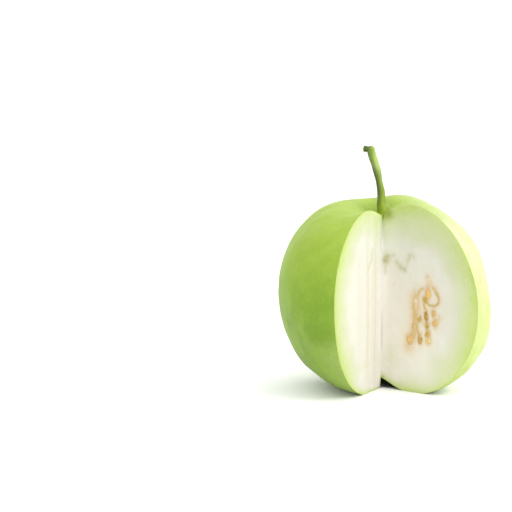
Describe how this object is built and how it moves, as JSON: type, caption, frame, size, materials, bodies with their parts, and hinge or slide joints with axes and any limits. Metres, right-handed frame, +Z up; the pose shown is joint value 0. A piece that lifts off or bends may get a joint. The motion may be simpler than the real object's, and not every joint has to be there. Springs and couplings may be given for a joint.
{
  "type": "guava",
  "caption": "Round green guava standing on its blossom end, with one wedge cut out that shows white flesh and tan seeds, a thin bent stem and a dried calyx underneath.",
  "frame": {"origin": "middle of the footprint of the whole object, at the surface it stands on", "axes": "+Z up, from the blossom end to the stem; the wedge gap opens towards -Y, and the cut face with the seeds is at +X of the gap"},
  "size_m": [0.0814, 0.0784, 0.0943],
  "materials": {
    "skin_and_flesh": "satin",
    "stalk": "matte",
    "dried_calyx": "matte",
    "seed_tan": "satin"
  },
  "bodies": {
    "root": {"fruit": "skin_and_flesh", "stem": "stalk", "calyx": "dried_calyx", "seeds": "seed_tan"}
  },
  "joints": []
}
